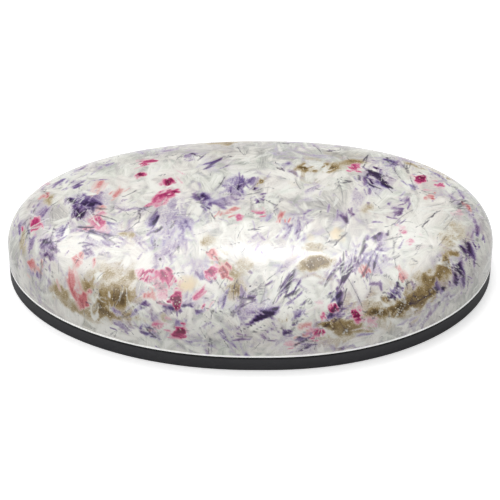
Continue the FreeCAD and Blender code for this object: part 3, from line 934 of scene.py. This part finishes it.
def make_film():
    """The clear adhesive, painted near white and made to glow: a painted highlight that gives the bright
    line at the stone's foot.
    """
    graph = Graph("clear_film")
    place = graph.place_mm()
    cloud = graph.noise(place, 1.2, 3.0)
    tint = graph.ramp(cloud, [(0.3, "F0F0EE"), (0.7, "FFFFFF")])
    # Painted highlight: a near-white base colour and a glow of the same colour.
    graph.feed(graph.shader, {"Base Color": tint, "Roughness": graph.fit(cloud, 0.2, 0.1),
                              "Emission Color": tint, "Emission Strength": FILM_PAINTED_GLOW,
                              "Normal": graph.bump(cloud, 0.2, 0.02)})
    return graph.material


def make_backing():
    """Black backing, ground flat: faint scratches one way, and a fine grain."""
    graph = Graph("black_backing")
    place = graph.place_mm()
    scratches = graph.noise(graph.stretch(place, (0.4, 9.0, 0.4)), 1.0, 5.0, 0.65)
    grain = graph.noise(place, 9.0, 3.0)
    both = graph.fit(scratches, 0.5, graph.times(grain, 0.5))
    tint = graph.ramp(both, [(0.3, "3D3D40"), (0.6, "444447"), (0.8, "4E4E51")])
    height = graph.add("ShaderNodeSeparateXYZ", {0: place}).outputs["Z"]
    under_film = graph.fit(height, 1 / LINE_FADE, (LINE_REACH - PLATE_TOP) / LINE_FADE, clamp=True)
    tint = graph.blend(under_film, tint, colour("0C0C0C"))
    graph.feed(graph.shader, {"Base Color": tint, "Roughness": graph.fit(both, 0.3, 0.4),
                              "Specular IOR Level": 0.15, "Normal": graph.bump(both, 0.3, 0.02)})
    return graph.material


def make_floor_paint():
    """White paper, shown as white to the camera and in reflections, and still taking the shadow."""
    graph = Graph("white_paper")
    paths = graph.add("ShaderNodeLightPath")
    mirrored = graph.times(paths.outputs["Is Glossy Ray"], PAPER_IN_REFLECTIONS)
    seen = graph.math("MAXIMUM", paths.outputs["Is Camera Ray"], mirrored)
    seen = graph.math("MAXIMUM", seen, paths.outputs["Is Transmission Ray"])
    grain = graph.noise(graph.place_mm(), 3.0, 4.0)
    tint = graph.ramp(grain, [(0.3, "F6F6F6"), (0.7, "FAFAFA")])
    graph.feed(graph.shader, {"Base Color": tint, "Roughness": 0.9, "Specular IOR Level": 0.1,
                              "Emission Color": (1, 1, 1, 1),
                              "Emission Strength": graph.times(seen, PAPER_GLOW)})
    return graph.material


# Stage, in metres.

FLOOR_REACH = 3.0
WORLD_LIGHT = 0.2

# Soft lamps: name, lean back and to the right in degrees, distance, width, depth and power in watts.
LAMPS = [
    ("overhead", 4, -14, 1.2, 1.2, 1.0, 7.1),
    ("middle", 15, -2, 0.8, 0.5, 0.5, 2.0),
    ("glint", 13, 0, 0.8, 0.06, 0.1, 0.24),
    ("streak", 10, 4, 0.8, 0.05, 0.04, 0.15),
]

CAMERA_ELEVATION = 50.5
CAMERA_DISTANCE = 0.4
CAMERA_LENS_MM = 230.2
CAMERA_AIM = Vector((-0.00003, 0.0, 0.0038))

def build_floor():
    """A wide sheet of white paper under the part."""
    sides = [(-1, -1), (1, -1), (1, 1), (-1, 1)]
    corners = [(FLOOR_REACH * east, FLOOR_REACH * north, 0.0) for east, north in sides]
    mesh = bpy.data.meshes.new("floor")
    mesh.from_pydata(corners, [], [(0, 1, 2, 3)])
    mesh.materials.append(make_floor_paint())
    add_object("floor", mesh)


def light_world():
    """Even pale light from all round, and a white backdrop behind the floor."""
    world = bpy.data.worlds.new("studio")
    world.use_nodes = True
    nodes = world.node_tree.nodes
    links = world.node_tree.links
    background = nodes["Background"]
    background.inputs["Color"].default_value = (1.0, 1.0, 1.0, 1.0)
    paths = nodes.new("ShaderNodeLightPath")
    strength = nodes.new("ShaderNodeMapRange")
    strength.inputs["To Min"].default_value = WORLD_LIGHT
    strength.inputs["To Max"].default_value = 1.0
    links.new(paths.outputs["Is Camera Ray"], strength.inputs["Value"])
    links.new(strength.outputs["Result"], background.inputs["Strength"])
    bpy.context.scene.world = world


def add_softbox(name, aim, direction, distance, width, depth, power):
    """A rectangular soft light, facing its aim from a direction."""
    lamp = bpy.data.lights.new(name, "AREA")
    lamp.shape = "RECTANGLE"
    lamp.size = width
    lamp.size_y = depth
    lamp.energy = power
    holder = add_object(name, lamp)
    holder.location = aim + direction.normalized() * distance
    holder.rotation_euler = (-direction).to_track_quat("-Z", "Y").to_euler()


def from_sky(tilt_back, tilt_right):
    """A direction upwards, leaned back and to the right by so many degrees."""
    return Vector((math.tan(math.radians(tilt_right)), math.tan(math.radians(tilt_back)), 1.0))


def place_camera():
    """The photograph's view: from the front, about 50 degrees above the floor."""
    lens = bpy.data.cameras.new("camera")
    lens.lens = CAMERA_LENS_MM
    lens.sensor_width = 36.0
    lens.clip_start = 0.01
    camera = add_object("camera", lens)
    rise = math.radians(CAMERA_ELEVATION)
    direction = Vector((0.0, -math.cos(rise), math.sin(rise)))
    camera.location = CAMERA_DISTANCE * direction
    camera.rotation_euler = (CAMERA_AIM - camera.location).to_track_quat("-Z", "Y").to_euler()
    bpy.context.scene.camera = camera


def build_part():
    """Dress the three pieces."""
    crown = build_crown(paint_sheet())
    crown.data.materials.append(make_stone())
    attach(crown, "root")
    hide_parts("crown")
    for node, material in (("bond_layer", make_film()), ("backing_plate", make_backing())):
        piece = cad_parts[node]
        piece.data.materials.clear()
        piece.data.materials.append(material)


def build_stage():
    """Floor, backdrop, lamps and camera."""
    build_floor()
    light_world()
    stone_top = Vector((0.0, 0.0, CROWN_TOP * MM))
    for name, back, right, distance, width, depth, power in LAMPS:
        add_softbox(name, stone_top, from_sky(back, right), distance, width, depth, power)
    place_camera()
    bpy.context.scene.view_settings.view_transform = "Standard"


build_part()
build_stage()
